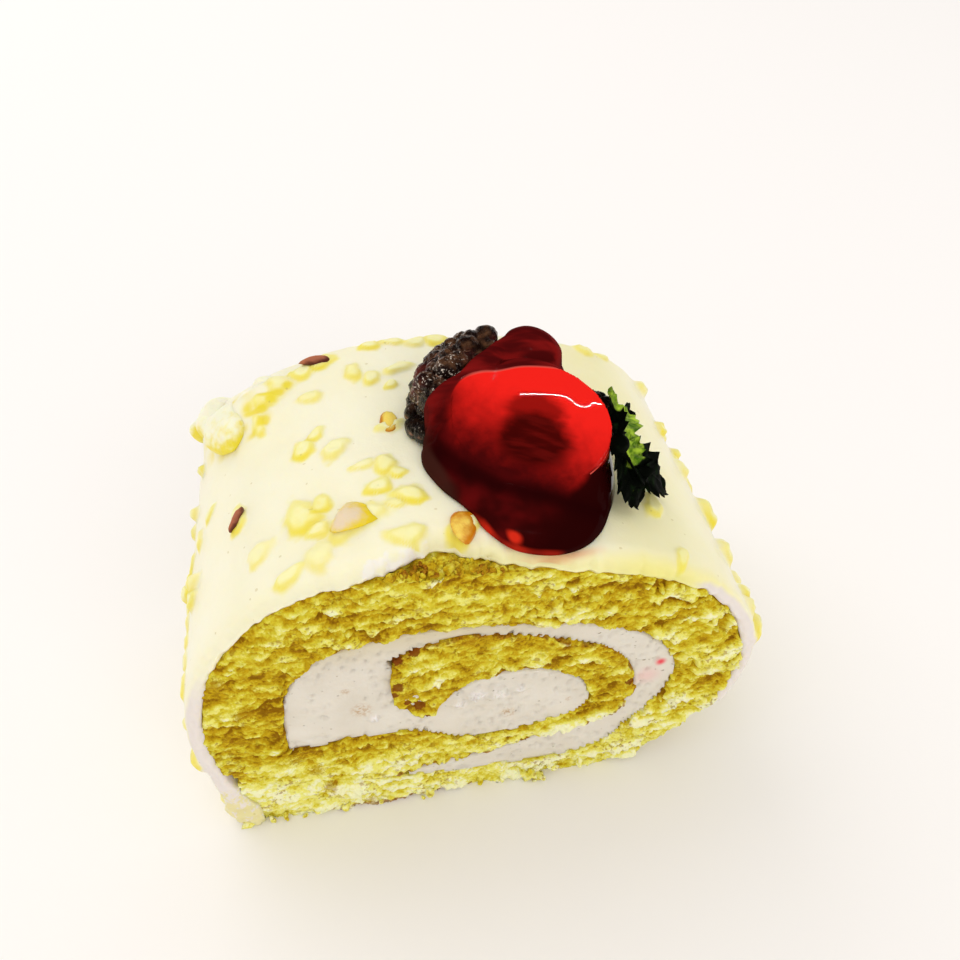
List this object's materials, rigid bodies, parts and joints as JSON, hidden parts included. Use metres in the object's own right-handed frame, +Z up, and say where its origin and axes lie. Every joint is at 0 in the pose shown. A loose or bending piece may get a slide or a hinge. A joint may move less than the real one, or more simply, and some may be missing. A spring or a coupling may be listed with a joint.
{
  "type": "swiss roll cake",
  "caption": "Slice of swiss roll cake filled with cream, iced and strewn with chopped almonds, topped with a halved strawberry and dark berries under red glaze.",
  "frame": {"origin": "on the flat underside, below the middle of the roll's width, on the roll's axis and half way between its two cuts", "axes": "+Y along the roll's axis from the front cut to the back cut, +X to the right as seen from the front, +Z up"},
  "size_m": [0.0925, 0.0603, 0.0715],
  "materials": {
    "sponge": "open yellow crumb, golden brown where it met the tin",
    "cream": "smooth whipped cream, satin",
    "icing": "thin pale yellow icing, satin, with pieces of chopped almond",
    "strawberry": "wet red flesh and skin",
    "leaf": "thin green leaf, paler along the ribs",
    "dark_berry": "near-black beads, wet",
    "glaze": "clear red gel, wet and glossy"
  },
  "bodies": {
    "root": {"sponge": "sponge", "cream_filling": "cream", "icing": "icing", "strawberry": "strawberry", "strawberry_leaves": "leaf", "dark_berry_left": "dark_berry", "dark_berry_back": "dark_berry", "dark_berry_right": "dark_berry", "red_glaze": "glaze"}
  },
  "joints": []
}
